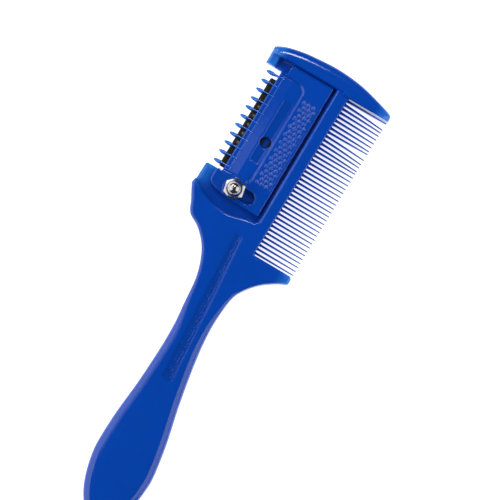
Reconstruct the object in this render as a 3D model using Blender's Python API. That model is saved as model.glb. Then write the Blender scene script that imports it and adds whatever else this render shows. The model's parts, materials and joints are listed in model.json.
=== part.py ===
"""Two-sided grooming comb with a clamped razor blade.

One moulded body carries a guard comb on its left side and a fine comb on its right side. A sliding
carrier plate holds a double-edge blade over the guard comb, and a dome nut on a screw clamps it.

Plan positions are millimetres from the screw axis: x to the right (towards the fine comb), y towards
the bow, z up from the back. `place` turns them into the part's frame, in metres, whose origin is the
middle of the bounding box at its bottom. The comb lies on its back.
"""

import math

import bmesh
import bpy

MM = 0.001

# Outer size, from the screw axis
LEFT, RIGHT = -14.6, 34.8
BOTTOM, TOP = -126.5, 56.5
SCREW_AT = (-(LEFT + RIGHT) / 2, -(BOTTOM + TOP) / 2)

# Levels above the back
PANEL_BACK = 0.4
FLOOR_TOP = 3.4
LOBE_TOP = 3.5
BLOCK_TOP = 5.2
HILT_TOP = 7.0
SPINE_Z = (0.2, HILT_TOP - 0.1)
BOW_TOP = 7.8
GAP = 0.3

# Handle: half widths down its leaning axis, then an elliptical end
HANDLE_HALF_WIDTHS = ((-44.0, 6.5), (-52.0, 6.3), (-62.0, 6.9), (-76.0, 8.5), (-90.0, 10.7), (-102.0, 11.8))
HANDLE_LEAN = 0.071
GROOVE_TOP = (9.5, -13.0)
GROOVE_DEPTH = 0.45

# Fine comb
FINE_TEETH = 40
FINE_PITCH = 1.638
FINE_FIRST = 48.4
FINE_ROOT_X = (18.4, 17.7)
FINE_TIP_X = (34.7, 33.8)
FINE_ROOT_WIDTH, FINE_TIP_WIDTH = 0.95, 0.45
FINE_ROOT_Z = (0.8, 5.4)
FINE_TIP_Z = (2.0, 4.2)
FINE_TIP_LEAN = {2: -1.0, 3: -0.5, 4: -0.3, 5: -0.3, 6: -0.3, 7: -0.3, 8: -0.3, 9: 0.2,
                 10: -0.7, 11: -0.9, 12: -0.6, 13: -0.6}

# Guard comb
GUARD_TEETH = 11
GUARD_PITCH = 3.71
GUARD_FIRST = 43.4
GUARD_ROOT_X, GUARD_TIP_X = -7.5, -12.5
GUARD_HALF_WIDTH = 0.85
GUARD_Z = (1.2, 3.3)

# Blade
BLADE_WIDTH, BLADE_LENGTH, BLADE_EDGE = 22.0, 42.3, 36.8
BLADE_EDGE_X = -9.6
BLADE_MIDDLE_Y = 23.4
BLADE_THICK = 0.1
BLADE_TAB = 14.4
BLADE_SLOT = (1.5, 33.0)
BLADE_EYE_RADIUS = 2.2
BLADE_Z = FLOOR_TOP + GAP

# Carrier
CARRIER_Z = BLADE_Z + BLADE_THICK + GAP
LIP_TOP = CARRIER_Z + 0.7
PLATE_TOP = CARRIER_Z + 1.8
POCKET_FLOOR = PLATE_TOP - 0.6
CHANNEL_FLOOR = PLATE_TOP - 1.0
CARRIER_RIGHT, CARRIER_TOP, CARRIER_BOTTOM = 12.1, 49.6, -4.0
LIP_X, SLOPE_X = -7.4, (-5.5, -2.0)
RIB_WIDTH, RIB_TIP_X, RIB_ROOT_X = 0.45, -10.6, -4.2
RIB_TOP = LIP_TOP + 0.35
SLOT_HALF_WIDTH = 2.2
SLOT_TRAVEL = 5.7
WINDOW = (0.8, 20.4, 2.05)
TONGUE = ((-3.0, 10.0), (CARRIER_TOP - 0.6, CARRIER_TOP + 2.0), (CARRIER_Z, CARRIER_Z + 1.0))
PEG_RADIUS, PEG_AT = 0.55, ((1.4, 9.4), (1.4, 37.4))

# Grip bumps
BUMP_ROWS, BUMP_PITCH, BUMP_FIRST = 21, 1.65, 6.6
BUMP_COLUMNS = ((5.4, 7.3, 9.3), (6.3, 8.3, 10.2))
BUMP_SIZE = (1.0, 1.3, 0.35)

# Fastener, M4
SHAFT_RADIUS, BORE_RADIUS = 1.9, 2.2
HEAD_FLATS, HEAD_Z = 7.0, (0.5, 2.0)
POCKET_FLATS, POCKET_TOP = 7.6, 2.3
SHAFT_TOP = 11.2
WASHER_RADII, WASHER_THICK = (2.2, 3.5), 0.7
WASHER_Z = PLATE_TOP + GAP
NUT_FLATS, NUT_HEX, NUT_HEIGHT = 7.0, 3.2, 6.8
NUT_DOME_RADIUS, NUT_CAVITY = 2.75, 4.9
NUT_Z = WASHER_Z + WASHER_THICK + GAP
NUT_CORNER_DEG = -18.0


def place(x, y, z):
    """A point given from the screw axis in millimetres, in the part's frame in metres."""
    return ((x + SCREW_AT[0]) * MM, (y + SCREW_AT[1]) * MM, z * MM)


def material(name, colour, roughness, metallic=0.0):
    """A Principled material."""
    made = bpy.data.materials.new(name)
    made.use_nodes = True
    shader = made.node_tree.nodes["Principled BSDF"]
    shader.inputs["Base Color"].default_value = (*colour, 1.0)
    shader.inputs["Roughness"].default_value = roughness
    shader.inputs["Metallic"].default_value = metallic
    return made


def add_object(name, points, faces, finish=None):
    """An object from points in millimetres and faces, its normals turned outwards."""
    mesh = bpy.data.meshes.new(name)
    mesh.from_pydata([place(*point) for point in points], [], faces)
    made = bpy.data.objects.new(name, mesh)
    bpy.context.scene.collection.objects.link(made)
    shape = bmesh.new()
    shape.from_mesh(mesh)
    bmesh.ops.recalc_face_normals(shape, faces=shape.faces)
    shape.to_mesh(mesh)
    shape.free()
    if finish:
        mesh.materials.append(finish)
    return made


def loft(name, rings, finish=None):
    """A closed skin through rings of equally many points, with a flat cap at each end."""
    count = len(rings[0])
    points = [point for ring in rings for point in ring]
    faces = []
    for row in range(len(rings) - 1):
        for i in range(count):
            j = (i + 1) % count
            faces.append((row * count + i, row * count + j, (row + 1) * count + j, (row + 1) * count + i))
    faces.append(tuple(range(count)))
    faces.append(tuple(range((len(rings) - 1) * count, len(rings) * count)))
    return add_object(name, points, faces, finish)


def prism(name, outline, low, high, finish=None):
    """An outline in plan, raised from one level to another."""
    return loft(name, [[(x, y, z) for x, y in outline] for z in (low, high)], finish)


def block(name, spans):
    """A box from its three spans."""
    (x0, x1), (y0, y1), (z0, z1) = spans
    return prism(name, [(x0, y0), (x1, y0), (x1, y1), (x0, y1)], z0, z1)


def circle(x, y, radius, count=32, start=0.0):
    """Points round a circle."""
    turns = [start + math.tau * i / count for i in range(count)]
    return [(x + radius * math.cos(t), y + radius * math.sin(t)) for t in turns]


def hexagon(flats, corner_deg=0.0):
    """A hexagon on the screw axis from its size across flats."""
    return circle(0.0, 0.0, flats / math.sqrt(3), 6, math.radians(corner_deg))


def obround(x0, x1, y, half_width, count=12):
    """A slot outline along x between two end centres."""
    right = [math.radians(-90 + 180 * i / count) for i in range(count + 1)]
    left = [math.radians(90 + 180 * i / count) for i in range(count + 1)]
    return ([(x1 + half_width * math.cos(t), y + half_width * math.sin(t)) for t in right]
            + [(x0 + half_width * math.cos(t), y + half_width * math.sin(t)) for t in left])


def curve_through(points, steps=4):
    """A smooth open curve through points (Catmull-Rom), with steps pieces between two points."""
    ends = [points[0], *points, points[-1]]
    found = []
    for a, b, c, d in zip(ends, ends[1:], ends[2:], ends[3:]):
        for i in range(steps):
            t = i / steps
            found.append(tuple(
                b[k] + 0.5 * t * (c[k] - a[k] + t * (2 * a[k] - 5 * b[k] + 4 * c[k] - d[k]
                                                     + t * (3 * (b[k] - c[k]) + d[k] - a[k])))
                for k in (0, 1)))
    return [*found, points[-1]]


def combine(target, tool, operation="UNION"):
    """A Boolean on the target, whose tool is left out of the model."""
    step = target.modifiers.new(tool.name, "BOOLEAN")
    step.operation = operation
    step.object = tool
    step.solver = "EXACT"
    tool.hide_render = True
    tool.display_type = "WIRE"


def bevel(target, width, segments=2, angle=40.0):
    """Rounded edges where faces meet at more than the angle."""
    step = target.modifiers.new("rounding", "BEVEL")
    step.width = width * MM
    step.segments = segments
    step.limit_method = "ANGLE"
    step.angle_limit = math.radians(angle)


def smooth(target, angle=35.0):
    """Smooth shading with sharp edges kept."""
    target.data.shade_smooth()
    target.data.set_sharp_from_angle(angle=math.radians(angle))


# Comb body ---------------------------------------------------------------------------------------


def bow():
    """The crowned bar across the far end, and the block that ends it on the blade side."""
    crest = curve_through([(-14.0, 51.6), (-13.2, 52.6), (-10.0, 54.0), (-5.0, 55.2), (0.0, 55.9), (10.0, TOP),
                           (20.0, 55.6), (30.0, 53.1), (33.8, 51.8), (RIGHT, 50.9)], 3)
    made = prism("bow", [(-14.0, 49.9), *crest, (RIGHT, 49.3), (16.0, 49.3), (16.0, 49.9)], 0.0, BOW_TOP)
    bevel(made, 0.9)
    return made


def spine():
    """The bar between the carrier and the fine comb, its profile carried from the hilt to the bow."""
    rings = []
    for y, root in ((50.6, FINE_ROOT_X[0]), (-17.0, FINE_ROOT_X[1])):
        profile = [(13.2, SPINE_Z[0]), (13.2, SPINE_Z[1] - 0.8), (14.0, SPINE_Z[1]), (root - 0.7, SPINE_Z[1]),
                   (root, SPINE_Z[1] - 0.7), (root, SPINE_Z[0])]
        rings.append([(x, y, z) for x, z in profile])
    return loft("spine", rings)


def handle_middle(y):
    """The handle's axis, which leans towards the fine comb."""
    return GROOVE_TOP[0] - HANDLE_LEAN * (y - GROOVE_TOP[1])


def handle_side(side, y0):
    """One edge of the handle in plan, from y0 to its round end."""
    points = [(y, half) for y, half in HANDLE_HALF_WIDTHS if y < y0]
    last_y, last_half = HANDLE_HALF_WIDTHS[-1]
    for degrees in range(15, 91, 15):
        turn = math.radians(degrees)
        points.append((last_y - (last_y - BOTTOM) * math.sin(turn), last_half * math.cos(turn)))
    return [(handle_middle(y) + side * half, y) for y, half in points]


def hilt_and_handle():
    """The raised pad below the carrier with its curved step, both flanks, the lower guard and the handle."""
    step = curve_through([(-13.6, -3.3), (-10.0, -5.8), (-4.0, -8.0), (0.0, -8.45), (4.0, -8.1), (8.0, -6.9)], 3)
    right = curve_through([(33.4, -19.6), (30.0, -21.3), (25.0, -25.0), (21.0, -29.8), (19.0, -34.5)]
                          + handle_side(1, -40.0), 3)
    left = curve_through(handle_side(-1, -40.0)[-2::-1]
                         + [(4.0, -33.0), (0.6, -24.0), (-4.5, -18.2), (-9.3, -15.2), (-11.6, -11.0),
                            (-14.0, -6.5), (LEFT, -5.3), (-14.3, -3.2)], 3)
    made = prism("hilt_and_handle", [*step, (12.9, -6.1), (17.6, -6.1), (17.6, -16.5), (33.0, -16.5),
                                     (33.7, -17.2), *right, *left], 0.0, HILT_TOP)
    bevel(made, 0.4)
    return made


def fine_tooth(number):
    """One tooth of the fine comb, tapering to its tip. The first ones lean a little."""
    share = (number - 1) / (FINE_TEETH - 1)
    root = FINE_ROOT_X[0] + share * (FINE_ROOT_X[1] - FINE_ROOT_X[0])
    tip = FINE_TIP_X[0] + share * (FINE_TIP_X[1] - FINE_TIP_X[0])
    y = FINE_FIRST - (number - 1) * FINE_PITCH
    lean = FINE_TIP_LEAN.get(number, 0.0)
    rings = []
    for t, width, low, high in ((-0.08, FINE_ROOT_WIDTH, *FINE_ROOT_Z), (0.96, FINE_TIP_WIDTH, *FINE_TIP_Z),
                                (1.0, FINE_TIP_WIDTH / 2, FINE_TIP_Z[0] + 0.4, FINE_TIP_Z[1] - 0.4)):
        x, middle = root + t * (tip - root), y + max(0.0, t) * lean
        rings.append([(x, middle - width / 2, low), (x, middle + width / 2, low),
                      (x, middle + width / 2, high), (x, middle - width / 2, high)])
    return loft(f"fine_tooth_{number}", rings)


def guard_tooth(number):
    """One leaf-shaped guard tooth: its half width falls to nothing at the tip along an ellipse."""
    y = GUARD_FIRST - (number - 1) * GUARD_PITCH
    length = GUARD_ROOT_X - GUARD_TIP_X
    rings = []
    for x in (GUARD_ROOT_X + 1.0, GUARD_ROOT_X, -9.0, -10.2, -11.2, -12.0, -12.4):
        reach = max(0.0, (GUARD_ROOT_X - x) / length)
        half = GUARD_HALF_WIDTH * (1 - reach ** 2.2) + 0.08 * reach
        low = GUARD_Z[0] + 0.9 * reach
        rings.append([(x, y - half, low), (x, y + half, low), (x, y + half, GUARD_Z[1] - 0.3),
                      (x, y + half * 0.3, GUARD_Z[1]), (x, y - half * 0.3, GUARD_Z[1]),
                      (x, y - half, GUARD_Z[1] - 0.3)])
    return loft(f"guard_tooth_{number}", rings)


def text_groove():
    """The shallow groove down the hilt and handle, along the handle's leaning axis."""
    edge = []
    for y, half, side in ((-13.0, 1.0, 1), (-13.6, 1.6, 1), (-40.0, 2.0, 1), (-70.0, 2.3, 1), (-71.0, 1.5, 1),
                          (-71.0, 1.5, -1), (-70.0, 2.3, -1), (-40.0, 2.0, -1), (-13.6, 1.6, -1), (-13.0, 1.0, -1)):
        edge.append((handle_middle(y) + side * half, y))
    return prism("text_groove", edge, HILT_TOP - GROOVE_DEPTH, HILT_TOP + 1)


def comb_body(finish):
    """The one moulding, made by joining its regions and cutting the screw's seat."""
    floor = [(-7.5, -9.5), (13.8, -9.5), (13.8, 50.4), (-12.0, 50.4), (-12.0, 45.75), (-7.5, 45.75)]
    made = prism("comb_body", floor, PANEL_BACK, FLOOR_TOP, finish)
    lobe = prism("lobe", [(-14.0, -5.0), (-5.0, -9.0), (-5.0, 3.9), (-13.6, 3.9), (-14.0, 3.5)],
                 SPINE_Z[0], LOBE_TOP)
    end_block = prism("end_block", [(-13.9, 45.7), (-10.4, 45.7), (-10.4, 51.0), (-13.9, 51.0)],
                      SPINE_Z[0], BLOCK_TOP)
    joined = [hilt_and_handle(), spine(), bow(), lobe, end_block]
    joined += [guard_tooth(n + 1) for n in range(GUARD_TEETH)]
    joined += [fine_tooth(n + 1) for n in range(FINE_TEETH)]
    for tool in joined:
        combine(made, tool)
    tongue_room = block("tongue_room", ((-9.0, 13.0), (49.0, 52.2), (FLOOR_TOP + 0.1, TONGUE[2][1] + GAP)))
    bore = prism("screw_bore", circle(0, 0, BORE_RADIUS), -1.0, FLOOR_TOP + 1)
    pocket = prism("head_pocket", hexagon(POCKET_FLATS), -1.0, POCKET_TOP)
    for tool in (tongue_room, bore, pocket, text_groove()):
        combine(made, tool, "DIFFERENCE")
    smooth(made)
    return made


# Carrier -----------------------------------------------------------------------------------------


def carrier_outline():
    """The carrier's plan: a long plate with a lip on its blade side and a tab round the nut."""
    heel = curve_through([(1.0, CARRIER_BOTTOM), (-3.5, -3.4), (-8.0, -2.3), (-9.3, -1.0), (-9.6, 0.6)], 3)
    return [(CARRIER_RIGHT, CARRIER_TOP), (CARRIER_RIGHT, CARRIER_BOTTOM), *heel, (-9.6, 3.2), (-8.8, 4.0),
            (LIP_X, 4.0), (LIP_X, 45.7), (-5.0, 45.7), (-5.0, 48.1), (-4.6, 49.1), (-3.6, CARRIER_TOP)]


def slope_cutter():
    """What is taken off the plate over the lip and the sloping face."""
    profile = [(LIP_X - 1.0, LIP_TOP), (SLOPE_X[0], LIP_TOP), (SLOPE_X[1], PLATE_TOP + 0.1),
               (SLOPE_X[1], PLATE_TOP + 2), (LIP_X - 1.0, PLATE_TOP + 2)]
    return loft("slope_cutter", [[(x, y, z) for x, z in profile] for y in (4.05, 45.75)])


def pocket_outline():
    """The pocket in the plate, open to the sloping face, with a large radius at its far end."""
    far = [(0.0 + 3.2 * math.cos(math.radians(a)), 41.6 + 3.2 * math.sin(math.radians(a)))
           for a in range(0, 91, 15)]
    near = [(1.2 + 2.0 * math.cos(math.radians(a)), 6.6 + 2.0 * math.sin(math.radians(a)))
            for a in range(-90, 1, 18)]
    return [*near, *far, (-6.0, 44.8), (-6.0, 4.6)]


def rib(number):
    """One thin rib, from the sloping face over the blade to the guard tooth."""
    y = GUARD_FIRST - (number - 1) * GUARD_PITCH
    rings = []
    for x, low, high, half in ((RIB_ROOT_X, CARRIER_Z + 0.1, RIB_TOP, RIB_WIDTH / 2),
                               (RIB_TIP_X + 0.6, CARRIER_Z + 0.05, RIB_TOP, RIB_WIDTH / 2),
                               (RIB_TIP_X, CARRIER_Z + 0.15, RIB_TOP - 0.5, RIB_WIDTH / 4)):
        rings.append([(x, y - half, low), (x, y + half, low), (x, y + half, high), (x, y - half, high)])
    return loft(f"rib_{number}", rings)


def bump(x, y, number):
    """One diamond bump of the grip band, its foot sunk in the plate."""
    wide, tall, high = BUMP_SIZE
    points = [(x - wide / 2, y, PLATE_TOP - 0.1), (x, y - tall / 2, PLATE_TOP - 0.1),
              (x + wide / 2, y, PLATE_TOP - 0.1), (x, y + tall / 2, PLATE_TOP - 0.1), (x, y, PLATE_TOP + high)]
    return add_object(f"bump_{number}", points, [(0, 1, 2, 3), (0, 1, 4), (1, 2, 4), (2, 3, 4), (3, 0, 4)])


def blade_carrier(finish):
    """The sliding plate that holds the blade."""
    made = prism("blade_carrier", carrier_outline(), CARRIER_Z, PLATE_TOP, finish)
    cut = [slope_cutter(), prism("pocket", pocket_outline(), POCKET_FLOOR, PLATE_TOP + 2),
           block("channel", ((-1.2, 2.4), (12.3, 37.0), (CHANNEL_FLOOR, PLATE_TOP + 2))),
           prism("window", circle(*WINDOW), CARRIER_Z - 1, PLATE_TOP + 2),
           prism("slot", obround(0.0, SLOT_TRAVEL, 0.0, SLOT_HALF_WIDTH), CARRIER_Z - 1, PLATE_TOP + 2)]
    for tool in cut:
        combine(made, tool, "DIFFERENCE")
    combine(made, block("tongue", TONGUE))
    for n in range(GUARD_TEETH):
        combine(made, rib(n + 1))
    for n, (x, y) in enumerate(PEG_AT):
        combine(made, prism(f"peg_{n + 1}", circle(x, y, PEG_RADIUS, 12), FLOOR_TOP + 0.15, CARRIER_Z + 0.4))
    number = 0
    for row in range(BUMP_ROWS):
        for x in BUMP_COLUMNS[row % 2]:
            number += 1
            combine(made, bump(x, BUMP_FIRST + row * BUMP_PITCH, number))
    smooth(made)
    return made


# Blade and fastener ------------------------------------------------------------------------------


def razor_blade(finish):
    """A double-edge blade: clipped corners, and a long slot with a round eye in its middle."""
    x0, x1 = BLADE_EDGE_X, BLADE_EDGE_X + BLADE_WIDTH
    middle = (x0 + x1) / 2
    edge, end, tab = BLADE_EDGE / 2, BLADE_LENGTH / 2, BLADE_TAB / 2
    corner = [(x1, edge - 0.4), (x1 - 0.4, edge), (middle + tab + 0.5, edge), (middle + tab, edge + 0.5),
              (middle + tab, end - 0.6), (middle + tab - 0.6, end)]
    right = [(x, BLADE_MIDDLE_Y + y) for x, y in corner]
    left = [(2 * middle - x, y) for x, y in reversed(right)]
    upper = right + left
    lower = [(2 * middle - x, 2 * BLADE_MIDDLE_Y - y) for x, y in upper]
    made = prism("razor_blade", upper + lower, BLADE_Z, BLADE_Z + BLADE_THICK, finish)
    half_slot = BLADE_SLOT[0] / 2
    reach = BLADE_SLOT[1] / 2
    slot = block("blade_slot", ((middle - half_slot, middle + half_slot),
                                (BLADE_MIDDLE_Y - reach, BLADE_MIDDLE_Y + reach), (BLADE_Z - 1, BLADE_Z + 1)))
    eye = prism("blade_eye", circle(middle, BLADE_MIDDLE_Y + 4.0, BLADE_EYE_RADIUS, 24), BLADE_Z - 1, BLADE_Z + 1)
    combine(made, slot, "DIFFERENCE")
    combine(made, eye, "DIFFERENCE")
    return made


def turned(name, profile, finish, count=32):
    """A solid of revolution about the screw axis, closed on the axis at both ends."""
    rings = [[(r * math.cos(math.tau * i / count), r * math.sin(math.tau * i / count), z)
              for i in range(count)] for r, z in profile]
    return loft(name, rings, finish)


def clamp_screw(finish):
    """The screw: a thin hexagon head in the body's pocket and a plain shaft with a pointed end."""
    made = prism("clamp_screw", hexagon(HEAD_FLATS), *HEAD_Z, finish)
    shaft = turned("shaft", [(SHAFT_RADIUS, HEAD_Z[1] - 0.5), (SHAFT_RADIUS, SHAFT_TOP - 0.5),
                             (SHAFT_RADIUS - 0.5, SHAFT_TOP)], None, 24)
    combine(made, shaft)
    smooth(made)
    return made


def spring_washer(finish):
    """A split ring."""
    start, sweep, count = math.radians(100), math.radians(348), 28
    rings = []
    for i in range(count + 1):
        t = start + sweep * i / count
        c, s = math.cos(t), math.sin(t)
        rings.append([(r * c, r * s, z) for r, z in (
            (WASHER_RADII[0], WASHER_Z), (WASHER_RADII[1], WASHER_Z),
            (WASHER_RADII[1], WASHER_Z + WASHER_THICK), (WASHER_RADII[0], WASHER_Z + WASHER_THICK))])
    made = loft("spring_washer", rings, finish)
    smooth(made)
    return made


def dome_nut(finish):
    """A dome nut: a hexagon with turned corners, a domed cap and a blind hole."""
    made = prism("dome_nut", hexagon(NUT_FLATS, NUT_CORNER_DEG), NUT_Z, NUT_Z + NUT_HEX, finish)
    corner = NUT_FLATS / math.sqrt(3)
    flat = NUT_FLATS / 2
    turning = turned("nut_turning", [(flat, NUT_Z - 0.01), (corner + 0.05, NUT_Z + 0.35),
                                     (corner + 0.05, NUT_Z + NUT_HEX - 0.6), (flat - 0.2, NUT_Z + NUT_HEX + 0.01)],
                     None, 48)
    combine(made, turning, "INTERSECT")
    rise = NUT_HEIGHT - NUT_HEX - 0.6
    foot = NUT_Z + NUT_HEX
    dome = [(NUT_DOME_RADIUS, foot - 1.0), (NUT_DOME_RADIUS, foot + 0.6)]
    dome += [(NUT_DOME_RADIUS * math.cos(math.radians(a)), foot + 0.6 + rise * math.sin(math.radians(a)))
             for a in (15, 30, 45, 60, 75, 86)]
    combine(made, turned("dome", dome, None))
    cavity = turned("nut_cavity", [(BORE_RADIUS, NUT_Z - 1), (BORE_RADIUS, NUT_Z + NUT_CAVITY - 0.8),
                                   (BORE_RADIUS - 1.2, NUT_Z + NUT_CAVITY)], None, 24)
    combine(made, cavity, "DIFFERENCE")
    smooth(made)
    return made


def main():
    for old in list(bpy.data.objects):
        bpy.data.objects.remove(old)
    blue = material("cobalt_plastic", (0.005, 0.06, 0.42), 0.25)
    steel = material("dark_blade_steel", (0.03, 0.03, 0.035), 0.3, 0.9)
    chrome = material("chrome_plate", (0.75, 0.75, 0.75), 0.08, 1.0)
    zinc = material("zinc_plate", (0.6, 0.6, 0.62), 0.3, 1.0)
    comb_body(blue)
    blade_carrier(blue)
    razor_blade(steel)
    clamp_screw(zinc)
    spring_washer(zinc)
    dome_nut(chrome)


main()
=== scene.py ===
"""Looks of the two-sided grooming comb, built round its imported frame.

Laid out as a Blender add-on and run as a script. Every new piece is a surface worked out with numpy.
Plan positions are millimetres from the screw axis: x towards the fine comb, y towards the bow, z up
from the back. `to_frame` turns them into the frame's metres.
"""
import json
import math

import bpy
import numpy as np
from bpy.props import FloatProperty, FloatVectorProperty, PointerProperty
from mathutils import Matrix, Vector


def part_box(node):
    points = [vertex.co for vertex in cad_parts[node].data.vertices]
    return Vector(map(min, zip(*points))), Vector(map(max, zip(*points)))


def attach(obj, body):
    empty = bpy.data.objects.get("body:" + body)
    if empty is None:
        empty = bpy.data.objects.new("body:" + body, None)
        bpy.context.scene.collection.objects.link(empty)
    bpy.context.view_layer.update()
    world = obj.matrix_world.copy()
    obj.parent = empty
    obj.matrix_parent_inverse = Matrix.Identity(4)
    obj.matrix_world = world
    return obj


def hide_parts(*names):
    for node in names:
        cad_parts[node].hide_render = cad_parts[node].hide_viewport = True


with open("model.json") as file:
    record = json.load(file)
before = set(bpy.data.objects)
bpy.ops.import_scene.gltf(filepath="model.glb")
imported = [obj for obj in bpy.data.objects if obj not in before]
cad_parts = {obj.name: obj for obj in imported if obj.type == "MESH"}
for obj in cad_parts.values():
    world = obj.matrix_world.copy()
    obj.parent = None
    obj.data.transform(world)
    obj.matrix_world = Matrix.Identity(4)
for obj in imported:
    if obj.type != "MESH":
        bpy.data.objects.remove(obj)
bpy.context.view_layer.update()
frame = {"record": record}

bl_info = {
    "name": "Two-sided grooming comb",
    "version": (1, 0, 0),
    "blender": (4, 5, 0),
    "location": "3D View > Sidebar > Comb",
    "description": "Builds the moulding, blade, carrier and clamp of a grooming comb round its frame",
    "category": "Add Mesh",
}

MM = 0.001


def middle_of(node):
    """The middle of a frame node's box, in metres."""
    low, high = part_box(node)
    return (low + high) / 2


SCREW = middle_of("dome_nut")


def span(node, axis):
    """The lowest and highest value of a frame node along an axis, in millimetres from the screw axis."""
    low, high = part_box(node)
    zero = SCREW[axis] if axis < 2 else 0.0
    return (low[axis] - zero) / MM, (high[axis] - zero) / MM


# Places read from the frame
LEFT, RIGHT = span("comb_body", 0)
BOTTOM, TOP = span("comb_body", 1)
BOW_TOP = span("comb_body", 2)[1]
CARRIER_RIGHT = span("blade_carrier", 0)[1]
BLADE_LEFT, BLADE_RIGHT = span("razor_blade", 0)
BLADE_LOW, BLADE_HIGH = span("razor_blade", 1)
BLADE_Z = span("razor_blade", 2)
WASHER_Z = span("spring_washer", 2)
NUT_Z = span("dome_nut", 2)
SCREW_Z = span("clamp_screw", 2)

# Levels above the back
PANEL_BACK = 0.4
FLOOR_TOP = BLADE_Z[0] - 0.3
LOBE_TOP = FLOOR_TOP + 0.1
BLOCK_TOP = 5.2
HILT_TOP = 7.0
CARRIER_Z = BLADE_Z[1] + 0.3
LIP_TOP = CARRIER_Z + 0.7
PLATE_TOP = WASHER_Z[0] - 0.3
POCKET_FLOOR = PLATE_TOP - 0.6
CHANNEL_FLOOR = POCKET_FLOOR - 0.18
HEAD_POCKET_TOP = 2.3

# Handle: half widths down its leaning axis, then an elliptical end
HANDLE_HALF_WIDTHS = ((-44.0, 6.5), (-52.0, 6.3), (-62.0, 6.9), (-76.0, 8.5), (-90.0, 10.7), (-102.0, 11.8))
HANDLE_LEAN = 0.071
GROOVE_TOP = (9.5, -13.0)

# Fine comb
FINE_TEETH, FINE_PITCH, FINE_FIRST = 40, 1.638, 48.4
FINE_ROOT_X, FINE_TIP_X = (18.4, 17.7), (34.7, 33.8)
FINE_TIP_LEAN = {2: -1.0, 3: -0.5, 4: -0.3, 5: -0.3, 6: -0.3, 7: -0.3, 8: -0.3, 9: 0.2,
                 10: -0.7, 11: -0.9, 12: -0.6, 13: -0.6}

# Guard comb and the carrier's ribs over it
GUARD_TEETH, GUARD_PITCH, GUARD_FIRST = 11, 3.71, 43.4
GUARD_ROOT_X, GUARD_TIP_X = -7.5, -12.45
RIB_ROOT_X, RIB_TIP_X = -4.9, -10.6

# Slot, window and grip band
SLOT_HALF_WIDTH, SLOT_END = 2.2, 5.7
WINDOW = (0.8, 20.4, 2.05)  # middle x, y and radius
BUMP_ROWS, BUMP_PITCH, BUMP_FIRST = 21, 1.65, 6.6
BUMP_COLUMN, BUMP_ACROSS = 5.4, 1.95
BUMP_HALF_ACROSS, BUMP_HALF_ALONG = 0.85, 1.0

# Clamp
BORE_RADIUS = 2.2
THREAD_PITCH = 0.7
NUT_FLATS = 7.0
NUT_CORNER_DEG = -18.0

# Blade
BLADE_EDGE_HALF, BLADE_TAB_HALF = 18.4, 7.2
BLADE_SLOT_HALF = (0.75, 16.5)

# Stage
VIEW_LEAN_DEG, VIEW_TILT_DEG = 30.76, 4.0
VIEW_WIDTH = 0.1782
AIM_FROM_SCREW, AIM_Z = (15.78, -15.65), 6.0
FLOOR_HALF = 3.0
# Each light: how far right, how far up the view, how high, how wide and how tall, in metres
LIGHTS = {
    "key": (0.12, 0.5, 0.75, 0.12, 0.2),
    "side": (-0.8, 0.1, 0.5, 1.2, 1.0),
    "fill": (0.8, -0.2, 0.6, 1.2, 1.0),
    "panel": (-0.28, 0.16, 0.85, 0.3, 0.3),
    "top": (-0.36, 0.78, 0.6, 0.6, 0.4),
}


# Shapes in plan ----------------------------------------------------------------------------------


def curve_through(points, steps=8):
    """A smooth open curve through points: Catmull-Rom, cut into steps pieces between two points."""
    p = np.array([points[0], *points, points[-1]], float)
    t = np.linspace(0, 1, steps, endpoint=False)[None, :, None]
    a, b, c, d = (p[i:len(p) - 3 + i, None, :] for i in range(4))
    found = b + 0.5 * t * (c - a + t * (2 * a - 5 * b + 4 * c - d + t * (3 * (b - c) + d - a)))
    return np.vstack([found.reshape(-1, 2), p[-1:]])


def polygon_distance(outline):
    """The signed distance to a closed outline, above nought inside it: the shortest distance to any of its
    segments, with its sign from how often a ray crosses the outline."""
    points = np.asarray(outline, float)
    following = np.roll(points, -1, axis=0)

    def distance(x, y):
        best = np.full(np.shape(x), np.inf)
        odd = np.zeros(np.shape(x), bool)
        for (x0, y0), (x1, y1) in zip(points, following):
            dx, dy = x1 - x0, y1 - y0
            length = dx * dx + dy * dy
            if length < 1e-12:
                continue
            t = np.clip(((x - x0) * dx + (y - y0) * dy) / length, 0, 1)
            best = np.minimum(best, (x - x0 - t * dx) ** 2 + (y - y0 - t * dy) ** 2)
            if dy:
                odd ^= ((y0 > y) != (y1 > y)) & (x < dx * (y - y0) / dy + x0)
        return np.sqrt(best) * np.where(odd, 1, -1)

    return distance


def box_distance(x0, x1, y0, y1):
    """The distance inside a rectangle to its nearest side."""
    return lambda x, y: np.minimum(np.minimum(x - x0, x1 - x), np.minimum(y - y0, y1 - y))


def hexagon_distance(flats, corner_deg):
    """The distance inside a hexagon on the screw axis to its nearest side."""
    turns = np.radians(corner_deg + 30 + 60 * np.arange(6))
    return lambda x, y: flats / 2 - np.max(
        [x * math.cos(t) + y * math.sin(t) for t in turns], axis=0)


def slot_distance(x, y):
    """The distance outside the carrier's oblong slot."""
    return np.hypot(x - np.clip(x, 0, SLOT_END), y) - SLOT_HALF_WIDTH


def handle_middle(y):
    """The handle's axis, which leans towards the fine comb."""
    return GROOVE_TOP[0] - HANDLE_LEAN * (y - GROOVE_TOP[1])


def handle_side(side):
    """One edge of the handle in plan, ending in a quarter of an ellipse."""
    last_y, last_half = HANDLE_HALF_WIDTHS[-1]
    turn = np.radians(np.arange(15, 91, 15))
    y = np.concatenate([[y for y, _ in HANDLE_HALF_WIDTHS], last_y - (last_y - BOTTOM) * np.sin(turn)])
    half = np.concatenate([[half for _, half in HANDLE_HALF_WIDTHS], last_half * np.cos(turn)])
    return np.stack([handle_middle(y) + side * half, y], axis=1)


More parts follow.
